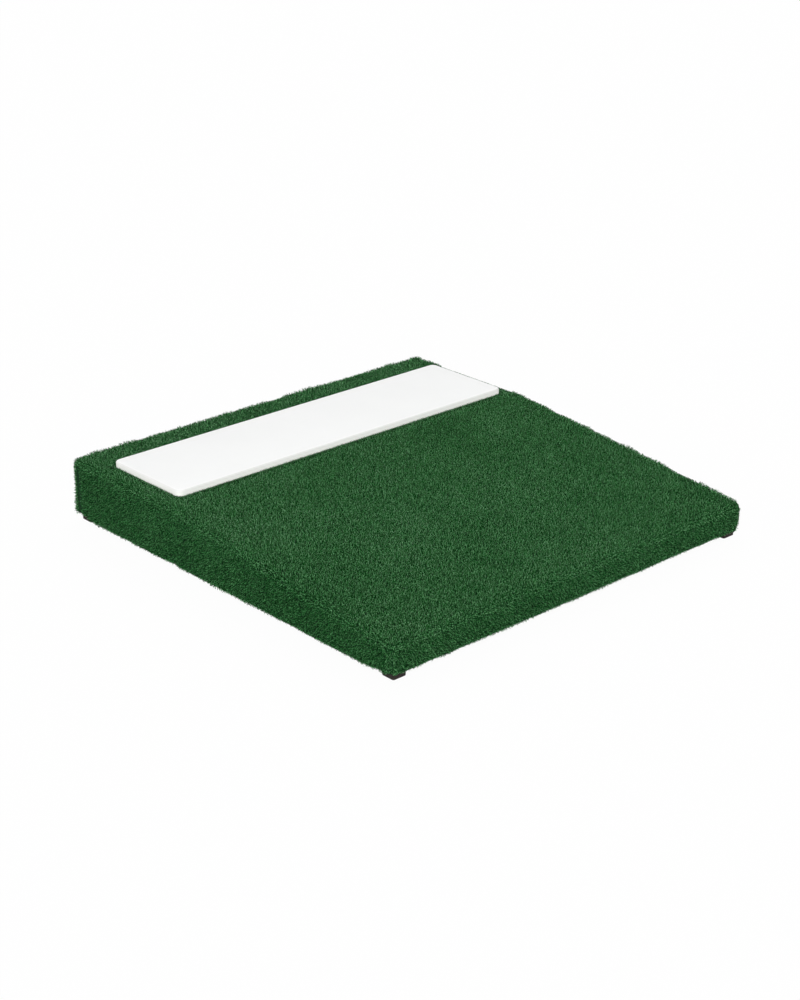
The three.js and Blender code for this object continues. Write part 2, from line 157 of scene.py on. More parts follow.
world = bpy.data.worlds.new("white_sky")
world.use_nodes = True
sky = world.node_tree
sky_light = set_inputs(sky.nodes["Background"], Color=(1, 1, 1, 1), Strength=SKY_LIGHT)
sky_white = set_inputs(add_node(sky, "ShaderNodeBackground"), Color=(1, 1, 1, 1), Strength=1)
sky_mix = add_node(sky, "ShaderNodeMixShader")
sky.links.new(seen_directly(sky), sky_mix.inputs[0])
sky.links.new(sky_light.outputs[0], sky_mix.inputs[1])
sky.links.new(sky_white.outputs[0], sky_mix.inputs[2])
sky.links.new(sky_mix.outputs[0], sky.nodes["World Output"].inputs[0])
bpy.context.scene.world = world
print("sky light", SKY_LIGHT)

# %% Lamps
SUN_SPREAD = math.radians(50)
KEY_FROM = (-0.62, -0.58, 0.45)
KEY_STRENGTH = 2.6
BACK_FROM = (0.6, 0.7, 0.8)
BACK_STRENGTH = 0.8


def add_lamp(name, light_from, strength):
    lamp = bpy.data.lights.new(name, "SUN")
    lamp.angle = SUN_SPREAD
    lamp.energy = strength
    holder = bpy.data.objects.new(name, lamp)
    holder.location = light_from
    holder.rotation_euler = (-Vector(light_from)).to_track_quat("-Z", "Y").to_euler()
    bpy.context.scene.collection.objects.link(holder)
    return holder


add_lamp("key_lamp", KEY_FROM, KEY_STRENGTH)
add_lamp("back_lamp", BACK_FROM, BACK_STRENGTH)
print("lamps", KEY_STRENGTH, "and", BACK_STRENGTH)

# %% Floor
FLOOR_RADIUS = 14
FLOOR_COLOUR = (0.93, 0.93, 0.93, 1)
FLOOR_GLOW = 0.96  # how much of the floor's look is plain white, which softens the shadow

bpy.ops.mesh.primitive_circle_add(vertices=64, radius=FLOOR_RADIUS, fill_type="NGON")
floor = bpy.context.object
floor.name = "floor"
floor_paint = bpy.data.materials.new("floor_paint")
floor_paint.use_nodes = True
tree = floor_paint.node_tree
matt = tree.nodes["Principled BSDF"]
set_inputs(matt, Base_Color=FLOOR_COLOUR, Roughness=1, Specular_IOR_Level=0)
glow = set_inputs(add_node(tree, "ShaderNodeEmission"), Color=(1, 1, 1, 1), Strength=1)
share = add_node(tree, "ShaderNodeMath", operation="MULTIPLY")
share.inputs[1].default_value = FLOOR_GLOW
blend = add_node(tree, "ShaderNodeMixShader")
tree.links.new(seen_directly(tree), share.inputs[0])
tree.links.new(share.outputs[0], blend.inputs[0])
tree.links.new(matt.outputs[0], blend.inputs[1])
tree.links.new(glow.outputs[0], blend.inputs[2])
tree.links.new(blend.outputs[0], tree.nodes["Material Output"].inputs[0])
floor.data.materials.append(floor_paint)
floor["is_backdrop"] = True
print("floor radius", FLOOR_RADIUS)

# %% [markdown]
# ## Working by hand, in code
# Blender's operators act on what is selected. These few helpers make one piece the active one, open it
# in edit mode, and pick its corners, edges or faces by where they are or which way they face.


# %% Helpers for modelling
def only(piece):
    bpy.ops.object.select_all(action="DESELECT")
    piece.select_set(True)
    bpy.context.view_layer.objects.active = piece


def open_piece(piece):
    only(piece)
    bpy.ops.object.mode_set(mode="EDIT")


def close_piece():
    bpy.ops.object.mode_set(mode="OBJECT")


def pick(kind, test):
    """Selects the corners, edges or faces that pass the test, and returns how many there are."""
    mesh = bpy.context.edit_object.data
    bpy.ops.mesh.select_mode(type=kind)
    bpy.ops.mesh.select_all(action="DESELECT")
    shape = bmesh.from_edit_mesh(mesh)
    shape.normal_update()
    parts = {"VERT": shape.verts, "EDGE": shape.edges, "FACE": shape.faces}[kind]
    chosen = [part for part in parts if test(part)]
    for part in chosen:
        part.select_set(True)
    shape.select_flush_mode()
    bmesh.update_edit_mesh(mesh)
    return len(chosen)


def middle(edge):
    return (edge.verts[0].co + edge.verts[1].co) / 2


def direction(edge):
    return (edge.verts[1].co - edge.verts[0].co).normalized()


def add_block(name, low, high):
    bpy.ops.mesh.primitive_cube_add(size=1, location=(low + high) / 2, scale=high - low)
    bpy.ops.object.transform_apply(location=True, rotation=True, scale=True)
    bpy.context.object.name = name
    return bpy.context.object


def apply_modifier(piece, kind, **settings):
    modifier = piece.modifiers.new(kind.lower(), kind)
    for name, value in settings.items():
        setattr(modifier, name, value)
    only(piece)
    bpy.ops.object.modifier_apply(modifier=modifier.name)


def join_pieces(name, pieces):
    bpy.ops.object.select_all(action="DESELECT")
    for piece in pieces:
        piece.select_set(True)
    bpy.context.view_layer.objects.active = pieces[0]
    bpy.ops.object.join()
    bpy.ops.object.transform_apply(location=True, rotation=True, scale=True)
    bpy.context.object.name = name
    return bpy.context.object


def faces_of(piece):
    return len(piece.data.polygons)


# %% [markdown]
# ## The turf's backing
# Artificial turf is a thin woven backing with yarn stitched through it. Here it is one sheet, pulled
# over the ramp, folded round its edges and stapled under the rails. It could be a simulated cloth, but
# it is stretched tight over wood, so a block is cut to the ramp's own slope, its edges are rounded, its
# underside is opened to leave a hem, and the wall that is left is given the thickness of the backing.

# %% Where the ramp lies
PILE_ON_HEM = 3 * MM
BACKING = 2 * MM
SEAT_GAP = 0.3 * MM  # between the backing and the wood
FOLD_RADIUS = 2 * MM
RIDGE_ROUNDING = 8 * MM

turf_low, turf_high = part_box("turf_cover")
plateau_low, plateau_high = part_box("plateau_panel")
slope_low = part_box("slope_panel")[0]
slope_corners = [corner.co for corner in frame["nodes"]["slope_panel"].data.vertices]
front_top = max(place.z for place in slope_corners if place.y < slope_low.y + NEAR)
fall = (plateau_high.z - front_top) / (plateau_low.y - slope_low.y)

lift = BACKING + SEAT_GAP
backing_high = plateau_high + Vector((lift, lift, lift))
backing_low = Vector((-backing_high.x, -backing_high.y, turf_low.z + PILE_ON_HEM))
ridge_y = plateau_low.y - lift * fall / 2
drop = fall * (ridge_y - backing_low.y)
print("slope", round(math.degrees(math.atan(fall)), 2), "degrees, fall", round(drop / MM, 1), "mm")

# %% Backing
HEM_WIDTH = 34 * MM
SHARP_EDGE = math.radians(40)
UNDERSIDE = -0.99  # only the flat underside points this straight down

backing = add_block("turf_backing", backing_low, backing_high)
open_piece(backing)
bpy.ops.mesh.select_all(action="SELECT")
bpy.ops.mesh.bisect(plane_co=(0, ridge_y, 0), plane_no=(0, 1, 0))
pick("VERT", lambda corner: corner.co.y < ridge_y - MM and corner.co.z > backing_high.z - MM)
bpy.ops.transform.translate(value=(0, 0, -drop))
pick("EDGE", lambda edge: abs(middle(edge).x) < MM and abs(middle(edge).y - ridge_y) < MM
     and middle(edge).z > backing_high.z - MM)
bpy.ops.mesh.bevel(offset=RIDGE_ROUNDING, segments=4)
pick("EDGE", lambda edge: edge.calc_face_angle(0) > SHARP_EDGE)
bpy.ops.mesh.bevel(offset=FOLD_RADIUS, segments=3)
pick("FACE", lambda face: face.normal.z < UNDERSIDE)
bpy.ops.mesh.inset(thickness=HEM_WIDTH)
bpy.ops.mesh.delete(type="FACE")
close_piece()
print("backing:", faces_of(backing), "faces")

# %% [markdown]
# ## The pitching rubber
# The rubber is a thick slab of white moulded rubber, with soft edges and rounded corners. It starts as
# a block of its own size. The upright edges take the corner rounding, and the top edges a smaller one.
# Four brass inserts are moulded into its underside, so a stepped socket is cut for each of them.

# %% Rubber
CORNER_RADIUS = 9 * MM
EDGE_RADIUS = 2.5 * MM
SMOOTH_BELOW = math.radians(30)

rubber_low, rubber_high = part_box("pitching_rubber")


def add_rounded_block(name, low, high, radius):
    block = add_block(name, low, high)
    open_piece(block)
    pick("EDGE", lambda edge: abs(direction(edge).z) > ALONG)
    bpy.ops.mesh.bevel(offset=radius, segments=8)
    close_piece()
    return block


rubber = add_rounded_block("white_rubber_slab", rubber_low, rubber_high, CORNER_RADIUS)
open_piece(rubber)
pick("EDGE", lambda edge: middle(edge).z > rubber_high.z - MM)
bpy.ops.mesh.bevel(offset=EDGE_RADIUS, segments=5)
close_piece()
print("rubber:", faces_of(rubber), "faces")

# %% Sockets for the inserts
SOCKET_GAP = 0.3 * MM
FLANGE = 2 * MM  # thickness of an insert's flange
FLANGE_RIM = 3 * MM  # how far it stands out

inserts = [name for name in frame["nodes"] if name.startswith("rubber_insert")]


def sink_round(piece, centre, radius, low, high):
    """Cuts a round upright hole into the piece, from the low to the high level."""
    place = (centre.x, centre.y, (low + high) / 2)
    bpy.ops.mesh.primitive_cylinder_add(vertices=32, radius=radius, depth=high - low, location=place)
    cutter = bpy.context.object
    apply_modifier(piece, "BOOLEAN", operation="DIFFERENCE", object=cutter)
    bpy.data.objects.remove(cutter)


for name in inserts:
    low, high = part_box(name)
    flange_radius = (high.x - low.x) / 2 + SOCKET_GAP
    below = low.z - MM
    sink_round(rubber, (low + high) / 2, flange_radius, below, low.z + FLANGE + SOCKET_GAP)
    sink_round(rubber, (low + high) / 2, flange_radius - FLANGE_RIM, below, high.z + SOCKET_GAP)
only(rubber)
bpy.ops.object.shade_smooth_by_angle(angle=SMOOTH_BELOW)
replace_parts(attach(rubber, "root"), "pitching_rubber")
print("sockets:", len(inserts), "- rubber now", faces_of(rubber), "faces")

# %% [markdown]
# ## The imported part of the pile
# The pile is so dense that only the ends of its strands can be told apart. Below them the yarn reads as
# one dark mat. Planting every strand from the backing up would cost millions of faces that nobody sees,
# so the lower part is modelled as that mat: the outside of the backing is copied and swollen. Between
# the feet, where nothing presses on it, the hem sags in faint waves. The turf is doubled at the back
# corners and stands out a little there, and the front right corner is drawn in. The rubber crushes the
# pile flat, so its bed is cut out of the mat, and pushes it up into a collar along its sides.

# %% Bed for the strands
PACKED = 5.6 * MM  # thickness of the mat
FOOT_LINE = backing_low.z + 0.3 * MM  # the lowest that the mat reaches beside a foot
HEM_LINE = backing_low.z - 2.1 * MM  # and between the feet, where nothing presses it
HEM_WAVE = 0.7 * MM
WAVE_STEP = 30 * MM
BESIDE_FOOT = (3 * MM, 8 * MM)  # from a foot, where the mat starts to sag and where it hangs free
FLAP_SWELL = {(-1, 1): 2.2 * MM, (1, 1): 2.2 * MM, (1, -1): -1.8 * MM}  # how far a corner stands out
FLAP_LEVEL = 14 * MM  # below which it does
FLAP_LINE = FOOT_LINE + 3 * MM  # the lowest that the doubled turf reaches beside the back feet
HEM_FACES = -0.8  # a face that points further down than this belongs to the hem
HAIR = 0.01 * MM  # the corners that a cut makes lie this close to it

only(backing)
bpy.ops.object.duplicate()
seedbed = bpy.context.object


def take_patch(name, test):
    open_piece(seedbed)
    count = pick("FACE", test)
    before = set(bpy.data.objects)
    bpy.ops.mesh.separate(type="SELECTED")
    close_piece()
    patch = (set(bpy.data.objects) - before).pop()
    patch.name = name
    area = sum(face.area for face in patch.data.polygons)
    print(name, count, "faces,", round(area, 4), "square metres")
    return patch


patches = {"hem_pile": take_patch("hem_pile", lambda face: face.normal.z < HEM_FACES)}
open_piece(seedbed)
bpy.ops.mesh.select_all(action="SELECT")
bpy.ops.transform.shrink_fatten(value=PACKED, use_even_offset=True)
pick("VERT", lambda corner: corner.co.z < FOOT_LINE)
bpy.ops.transform.resize(value=(1, 1, 0), center_override=(0, 0, FOOT_LINE))
close_piece()
print("bed:", faces_of(seedbed), "faces")

# %% Let the hem sag between the feet
dice = random.Random(7)
foot_low, foot_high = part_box("foot_back_right")


def steps_between(reach):
    count = round(2 * reach / WAVE_STEP)
    return [-reach + 2 * reach * number / count for number in range(count + 1)]


def cut_across(axis, place):
    square = Vector((0, 0, 0))
    square[axis] = 1
    bpy.ops.mesh.select_all(action="SELECT")
    bpy.ops.mesh.bisect(plane_co=square * place, plane_no=square)


open_piece(seedbed)
hem_steps = [(0, place) for place in steps_between(foot_high.x)]
hem_steps += [(1, place) for place in steps_between(foot_low.y - BESIDE_FOOT[1])]
for axis, place in [*hem_steps, (1, BESIDE_FOOT[0] - foot_low.y), (1, foot_low.y - BESIDE_FOOT[0])]:
    cut_across(axis, place)
for axis, place in hem_steps:
    pick("VERT", lambda corner: abs(corner.co[axis] - place) < HAIR and corner.co.z < FOOT_LINE + HAIR)
    bpy.ops.transform.translate(value=(0, 0, HEM_LINE - FOOT_LINE + dice.uniform(-HEM_WAVE, HEM_WAVE)))
pick("VERT", lambda corner: corner.co.z < FLAP_LINE and abs(corner.co.x) > foot_high.x + HAIR
     and corner.co.y > foot_low.y - BESIDE_FOOT[0] - HAIR)
bpy.ops.transform.resize(value=(1, 1, 0), center_override=(0, 0, FLAP_LINE))
for (side, end), swell in FLAP_SWELL.items():
    pick("VERT", lambda corner: side * corner.co.x > foot_high.x and end * corner.co.y > foot_high.y
         and corner.co.z < FLAP_LEVEL)
    bpy.ops.transform.translate(value=(side * swell, end * swell, 0))
close_piece()
print("bed with a sagging hem:", faces_of(seedbed), "faces")

# %% Packed yarn
MAT_GAP = 0.2 * MM
BED_GAP = 0.3 * MM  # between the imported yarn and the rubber
COLLAR_WIDTH = 6 * MM  # strip of pile that the rubber pushes up along its sides
COLLAR_RISE = 2.4 * MM

only(seedbed)
bpy.ops.object.duplicate()
mat = bpy.context.object
mat.name = "packed_yarn"
apply_modifier(mat, "SOLIDIFY", thickness=PACKED - MAT_GAP, offset=-1, use_even_offset=True)
fringe = Vector((COLLAR_WIDTH, COLLAR_WIDTH, 0))
collar_low = rubber_low - fringe
collar_high = rubber_high + fringe
bed_top = max(corner.co.z for corner in seedbed.data.vertices)
collar_low.z, collar_high.z = bed_top - MM, bed_top + COLLAR_RISE
collar = add_rounded_block("collar", collar_low, collar_high, CORNER_RADIUS + COLLAR_WIDTH)
apply_modifier(mat, "BOOLEAN", operation="UNION", object=collar)
bed_margin = Vector((BED_GAP, BED_GAP, 3 * PACKED))
bed_low, bed_high = rubber_low - bed_margin, rubber_high + bed_margin
bed = add_rounded_block("rubber_bed", bed_low, bed_high, CORNER_RADIUS + BED_GAP)
apply_modifier(mat, "BOOLEAN", operation="DIFFERENCE", object=bed)
for cutter in (collar, bed):
    bpy.data.objects.remove(cutter)
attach(mat, "root")
print("packed yarn:", faces_of(mat), "faces")

# %% [markdown]
# ## Where the strands stand
# The bed is taken apart into patches: the sides, the folds, edges and corners between them, strips of
# the slope, and the collar round the rubber. Each gets pile of its own kind, and none is too heavy to
# handle.

# %% Cut the bed along the patches
STRIP_EDGES = (-0.67, -0.33, 0, 0.33, 0.67)  # of the half width, where the slope is split into strips
LEVEL = 0.9999  # only a face of the plateau points this straight up
FACING = 0.1  # a face that points this far in a direction faces that way

open_piece(seedbed)
for share_of_half in STRIP_EDGES:
    pick("FACE", lambda face: face.normal.z > ALONG)
    bpy.ops.mesh.bisect(plane_co=(share_of_half * backing_high.x, 0, 0), plane_no=(1, 0, 0))
for corner in (collar_low, collar_high):
    pick("FACE", lambda face: face.normal.z > LEVEL)
    bpy.ops.mesh.bisect(plane_co=corner, plane_no=(1, 0, 0))
    pick("FACE", lambda face: face.normal.z > FACING)
    bpy.ops.mesh.bisect(plane_co=corner, plane_no=(0, 1, 0))
close_piece()
print("bed cut into", faces_of(seedbed), "faces")

# %% Tell the patches apart
FLAT = 0.98  # how closely a face that isn't on a fold points along one axis
CORNERED = 0.15  # how far a face on a corner points along every axis
UPRIGHT_EDGE = 0.3  # how far up or down a face on an upright edge may point
SIDEWAYS = 0.7  # how far a face on a side points away from the mound


def beside_rubber(face):
    return collar_low.y < face.calc_center_median().y < collar_high.y and face.normal.z > FACING


def on_collar(face):
    return beside_rubber(face) and collar_low.x < face.calc_center_median().x < collar_high.x


def on_right_rim(face):
    return beside_rubber(face) and face.calc_center_median().x > collar_high.x


def on_strip(number):
    edges = [-2, *STRIP_EDGES, 2]
    low, high = edges[number] * backing_high.x, edges[number + 1] * backing_high.x
    return lambda face: low < face.calc_center_median().x < high and face.calc_center_median().y < ridge_y


def on_fold(face):
    return max(abs(part) for part in face.normal) < FLAT


def on_upright_edge(face):
    return on_fold(face) and abs(face.normal.z) < UPRIGHT_EDGE


def on_corner(face):
    return min(abs(part) for part in face.normal) > CORNERED and face.normal.z > 0


patch_tests = {
    "collar_pile": on_collar,
    "right_rim_pile": on_right_rim,
    "hem_fold_pile": lambda face: face.normal.z < -FACING,
    "front_corner_pile": lambda face: on_corner(face) and face.calc_center_median().y < 0,
    "back_corner_pile": on_corner,
    "front_edge_pile": lambda face: on_upright_edge(face) and face.normal.y < -FACING,
    "back_edge_pile": lambda face: on_upright_edge(face) and face.normal.y > FACING,
    "fold_pile": on_fold,
    "left_side_pile": lambda face: face.normal.x < -SIDEWAYS,
    "right_side_pile": lambda face: face.normal.x > SIDEWAYS,
    "back_pile": lambda face: face.normal.y > SIDEWAYS,
    "front_pile": lambda face: face.normal.y < -SIDEWAYS,
}
for number in range(len(STRIP_EDGES) + 1):
    patch_tests[f"slope_pile_{number + 1}"] = on_strip(number)
print("tests for", len(patch_tests), "patches")


# %% Take the patches
def settle_order(patch):
    """Lays the faces down in a fixed order, which insetting leaves to chance, so each run is the same."""
    places = [corner.co.copy() for corner in patch.data.vertices]
    rings = []
    for face in patch.data.polygons:
        ring = list(face.vertices)
        first = ring.index(min(ring))
        rings.append(ring[first:] + ring[:first])
    patch.data.clear_geometry()
    patch.data.from_pydata(places, [], sorted(rings))


for name, test in patch_tests.items():
    patches[name] = take_patch(name, test)
for name in ("hem_pile", "hem_fold_pile"):
    settle_order(patches[name])
patches["plateau_pile"] = seedbed
seedbed.name = "plateau_pile"
open_piece(patches["collar_pile"])
bpy.ops.mesh.select_all(action="SELECT")
bpy.ops.transform.translate(value=(0, 0, COLLAR_RISE))
close_piece()
print("patches:", len(patches))

# %% [markdown]
# ## One tuft of yarn
# The pile is curled ribbon yarn, about half a millimetre wide. A strand starts as a narrow upright
# strip, whose upper edge is extruded over, twisted and thinned towards the tip. Five strands with
# different curls are enough. A pale one and a dark one from the same stitch make a tuft, and a dozen
# different tufts hide that they repeat. A strand has only two faces, because there will be more than
# three hundred thousand.

# %% Strands
PILE_HEIGHT = 3.6 * MM
CURL_STEP = 1.4 * MM
CURL_STEPS = 1
STRAND_WIDTH = 0.6 * MM
TIP_SHARE = 0.85  # width kept at each step
CURLS = (70, 105, 140, 175, 215)  # degrees that each strand bends over from root to tip
TWIST = math.radians(20)


def curl_moves(curl):
    """The moves that carry the upper edge of a strand round its curl."""
    leans = [math.radians(curl) * (number + 0.5) / CURL_STEPS for number in range(CURL_STEPS)]
    return [Vector((0, math.sin(lean), math.cos(lean))) * CURL_STEP for lean in leans]


def model_strand(curl):
    rises = [sum(move.z for move in curl_moves(curl)[:count]) for count in range(CURL_STEPS + 1)]
    root = PILE_HEIGHT - max(rises)
    bpy.ops.mesh.primitive_plane_add(size=1, rotation=(math.pi / 2, 0, 0))
    strand = bpy.context.object
    strand.scale = (STRAND_WIDTH, root, 1)
    strand.location = (0, 0, root / 2)
    bpy.ops.object.transform_apply(location=True, rotation=True, scale=True)
    open_piece(strand)
    pick("EDGE", lambda edge: middle(edge).z > 0.9 * root)
    tip = Vector((0, 0, root))
    for move in curl_moves(curl):
        tip += move
        bpy.ops.mesh.extrude_edges_move(TRANSFORM_OT_translate={"value": move})
        bpy.ops.transform.resize(value=(TIP_SHARE, TIP_SHARE, TIP_SHARE), center_override=tip)
        bpy.ops.transform.rotate(value=TWIST, orient_axis="Z", center_override=tip)
    close_piece()
    along = strand.data.attributes.new("along", "FLOAT", "POINT")
    across = strand.data.attributes.new("across", "FLOAT", "POINT")
    for corner in range(len(strand.data.vertices)):
        along.data[corner].value = corner // 2 / (CURL_STEPS + 1)
        across.data[corner].value = corner % 2
    return strand


strands = [model_strand(curl) for curl in CURLS]
print("strands:", len(strands), "with", faces_of(strands[0]), "faces each")

# %% [markdown]
# ## The colour of the yarn
# The yarn is a deep bottle green. No two strands are quite alike: some are darker and some paler, and
# the palest also stand in for the yarn's sheen, as a painted highlight. Each strand is painted darker near
# the backing than at its tip, as painted shade for the depth of the pile. Every strand gets its own narrow
# place on a small chart, with the tint across and the height up the strand, and the material only
# looks up that chart.


# %% Helpers for finishes
def new_finish(name, roughness, specular=0.5, metallic=0.0):
    finish = bpy.data.materials.new(name)
    finish.use_nodes = True
    shader = finish.node_tree.nodes["Principled BSDF"]
    set_inputs(shader, Roughness=roughness, Specular_IOR_Level=specular, Metallic=metallic)
    return finish, finish.node_tree, shader


def ramp(tree, stops, source):
    node = add_node(tree, "ShaderNodeValToRGB")
    stripes = node.color_ramp.elements
    while len(stripes) < len(stops):
        stripes.new(0.5)
    for stripe, (place, colour) in zip(stripes, stops):
        stripe.position = place
        stripe.color = (*colour, 1) if isinstance(colour, tuple) else (colour, colour, colour, 1)
    tree.links.new(source, node.inputs[0])
    return node.outputs[0]


def multiply(tree, one, two):
    node = add_node(tree, "ShaderNodeMix", data_type="RGBA", blend_type="MULTIPLY")
    node.inputs["Factor"].default_value = 1
    tree.links.new(one, node.inputs["A"])
    tree.links.new(two, node.inputs["B"])
    return node.outputs["Result"]


# %% Yarn
# the strands differ in tint at random; the palest stops also stand in for the yarn's sheen, which the
# nearly matt finish leaves out: painted highlight
TINTS = (
    (0.00, (0.001, 0.022, 0.003)),
    (0.35, (0.006, 0.095, 0.014)),
    (0.65, (0.054, 0.265, 0.074)),
    (0.85, (0.156, 0.460, 0.176)),
    (1.00, (0.320, 0.650, 0.340)),
)
# painted shade: each strand darkens towards the backing, for the shade deep in the pile
ROOT_PAINTED_SHADE = ((0.00, 0.30), (0.40, 0.65), (0.70, 0.95), (1.00, 1.0))  # from the backing to the tip

yarn, tree, shader = new_finish("curled_green_yarn", roughness=0.5, specular=0.03)
chart = add_node(tree, "ShaderNodeUVMap", uv_map="OFBake")
parts = add_node(tree, "ShaderNodeSeparateXYZ")
tree.links.new(chart.outputs[0], parts.inputs[0])
tint = ramp(tree, TINTS, parts.outputs["X"])
shade = ramp(tree, ROOT_PAINTED_SHADE, parts.outputs["Y"])
tree.links.new(multiply(tree, tint, shade), shader.inputs["Base Color"])
print("yarn tints:", len(TINTS))

# %% Tufts
TUFT_KINDS = 12
TUFT_STRANDS = 2
TUFT_LEAN = (-22, 6)  # degrees out from the stitch, so most strands lean in over it
STRAND_SPIN = 0.4  # of the angle between two strands, how far one may be turned from its place
SIDE_LEAN = 0.3  # radians
STRAND_SIZES = (0.85, 1.1)
ROOT_SPREAD = 0.4 * MM  # of the strands round their stitch
CONTRAST = (0.22, 0.44)  # how far the pale strand and the dark one are from their tuft's own tint

tufts = bpy.data.collections.new("tufts")
bpy.context.scene.collection.children.link(tufts)


def model_tuft(number):
    copies = []
    contrast = dice.uniform(*CONTRAST)
    for turn in range(TUFT_STRANDS):
        strand = dice.choice(strands)
        copy = bpy.data.objects.new("strand", strand.data.copy())
        bpy.context.scene.collection.objects.link(copy)
        spin = (turn + dice.uniform(-STRAND_SPIN, STRAND_SPIN)) * 2 * math.pi / TUFT_STRANDS
        lean = math.radians(dice.uniform(*TUFT_LEAN))
        copy.rotation_euler = Euler((-lean, dice.uniform(-SIDE_LEAN, SIDE_LEAN), spin))
        size = dice.uniform(*STRAND_SIZES)
        copy.scale = (size, size, size)
        copy.location = Vector((-math.sin(spin), math.cos(spin), 0)) * ROOT_SPREAD
        tone = copy.data.attributes.new("tone", "FLOAT", "POINT")
        shift = contrast * (-1) ** turn
        for corner in tone.data:
            corner.value = shift
        copies.append(copy)
    tuft = join_pieces(f"tuft_{number}", copies)
    tuft.data.materials.append(yarn)
    bpy.context.scene.collection.objects.unlink(tuft)
    tufts.objects.link(tuft)
    return tuft


kinds = [model_tuft(number) for number in range(TUFT_KINDS)]
heights = [max(corner.co.z for corner in tuft.data.vertices) / MM for tuft in kinds]
print("tuft heights:", [round(height, 1) for height in heights], "mm")

# %% [markdown]
# ## Planting the pile
# A geometry node group scatters the tufts over a patch so that no two stitches come too close. Each
# tuft stands square to the backing, droops a little on the upright sides, and gets a turn, a tilt and a
# height of its own. Beside the rubber the tufts stand straighter, round the feet they are worn away,
# and where a corner of the turf is folded over itself a narrow ragged seam stays bare. The tint is
# drawn at random too, with broad faint blotches, and is written to the strand's place on the chart.

# %% Planting group
planting = bpy.data.node_groups.new("plant_the_pile", "GeometryNodeTree")
planting.interface.new_socket("Patch", in_out="INPUT", socket_type="NodeSocketGeometry")
for name in ("Spacing", "Length", "Ragged", "Swell", "Tint", "Seam"):
    planting.interface.new_socket(name, in_out="INPUT", socket_type="NodeSocketFloat")
planting.interface.new_socket("Seed", in_out="INPUT", socket_type="NodeSocketInt")
planting.interface.new_socket("Pile", in_out="OUTPUT", socket_type="NodeSocketGeometry")
link = planting.links.new
given = add_node(planting, "NodeGroupInput")
result = add_node(planting, "NodeGroupOutput")
print("planting group takes", len(given.outputs) - 1, "values")


# %% Helpers for the planting group
def random_value(kind, low, high, seed_step):
    """A value of its own for each tuft, from a draw of its own for each seed step."""
    seed = add_node(planting, "ShaderNodeMath", operation="ADD")
    link(given.outputs["Seed"], seed.inputs[0])
    seed.inputs[1].default_value = seed_step
    node = add_node(planting, "FunctionNodeRandomValue", data_type=kind)
    for name, value in (("Min", low), ("Max", high)):
        ends = [socket for socket in node.inputs if socket.name == name and socket.enabled]
        ends[0].default_value = value
    link(seed.outputs[0], node.inputs["Seed"])
    return [socket for socket in node.outputs if socket.enabled][0]


def named(name):
    node = add_node(planting, "GeometryNodeInputNamedAttribute", data_type="FLOAT")
    node.inputs["Name"].default_value = name
    return node.outputs["Attribute"]


def scaled(source, factor, extra):
    """The source times the factor, plus the extra. The last two are numbers or other sockets."""
    node = add_node(planting, "ShaderNodeMath", operation="MULTIPLY_ADD")
    link(source, node.inputs[0])
    for socket, value in zip(node.inputs[1:], (factor, extra)):
        if isinstance(value, float):
            socket.default_value = value
        else:
            link(value, socket)
    return node.outputs[0]


def closer_than(limit, distance):
    node = add_node(planting, "ShaderNodeMath", operation="LESS_THAN")
    link(distance, node.inputs[0])
    node.inputs[1].default_value = limit
    return node.outputs[0]


def vector_step(operation, source, other=(0, 0, 0)):
    node = add_node(planting, "ShaderNodeVectorMath", operation=operation)
    link(source, node.inputs[0])
    node.inputs[1].default_value = other
    return node.outputs[0]


def distance_outside(source, low, high, weights):
    """How far the source lies outside the box from low to high, with a weight for each axis."""
    centre = (low + high) / 2
    offset = vector_step("ABSOLUTE", vector_step("SUBTRACT", source, centre))
    beyond = vector_step("MAXIMUM", vector_step("SUBTRACT", offset, high - centre))
    node = add_node(planting, "ShaderNodeVectorMath", operation="LENGTH")
    link(vector_step("MULTIPLY", beyond, weights), node.inputs[0])
    return node.outputs["Value"]


# %% Scatter the stitches
MOST_TUFTS = 1.5e6  # for each square metre, before the spacing thins them

scatter = add_node(planting, "GeometryNodeDistributePointsOnFaces", distribute_method="POISSON")
scatter.inputs["Density Max"].default_value = MOST_TUFTS
link(given.outputs["Patch"], scatter.inputs["Mesh"])
link(given.outputs["Spacing"], scatter.inputs["Distance Min"])
link(given.outputs["Seed"], scatter.inputs["Seed"])
print("scatters at most", int(MOST_TUFTS), "stitches on a square metre")

# %% Clear the bare places
SEAM_WIDTH = 8.5 * MM
SEAM_RAGGED = 2.5 * MM  # how far a tuft may stray over its edges
FOOT_GAP = 7 * MM  # beside a foot, where the tufts are worn away
FOOT_WEIGHTS = (1, 4, 1)  # to its front and back the bare place is a quarter as wide

rounding = Vector((CORNER_RADIUS, CORNER_RADIUS, 0))
spot = add_node(planting, "GeometryNodeInputPosition").outputs[0]
from_rubber = distance_outside(spot, rubber_low + rounding, rubber_high - rounding, (1, 1, 0))
from_foot = distance_outside(vector_step("ABSOLUTE", spot), foot_low, foot_high, FOOT_WEIGHTS)
apart = add_node(planting, "ShaderNodeSeparateXYZ")
link(spot, apart.inputs[0])
strayed = scaled(random_value("FLOAT", -1.0, 1.0, 5), SEAM_RAGGED, apart.outputs["Y"])
on_seam = add_node(planting, "ShaderNodeMath", operation="COMPARE")
link(strayed, on_seam.inputs[0])
link(given.outputs["Seam"], on_seam.inputs[1])
on_seam.inputs[2].default_value = SEAM_WIDTH / 2
bare = closer_than(CORNER_RADIUS + BED_GAP, from_rubber)
for other_bare in (closer_than(FOOT_GAP, from_foot), on_seam.outputs[0]):
    either = add_node(planting, "ShaderNodeMath", operation="MAXIMUM")
    link(bare, either.inputs[0])
    link(other_bare, either.inputs[1])
    bare = either.outputs[0]
clear = add_node(planting, "GeometryNodeDeleteGeometry", domain="POINT")
link(scatter.outputs["Points"], clear.inputs["Geometry"])
link(bare, clear.inputs["Selection"])
print("bare seam", round(SEAM_WIDTH / MM, 1), "mm wide")

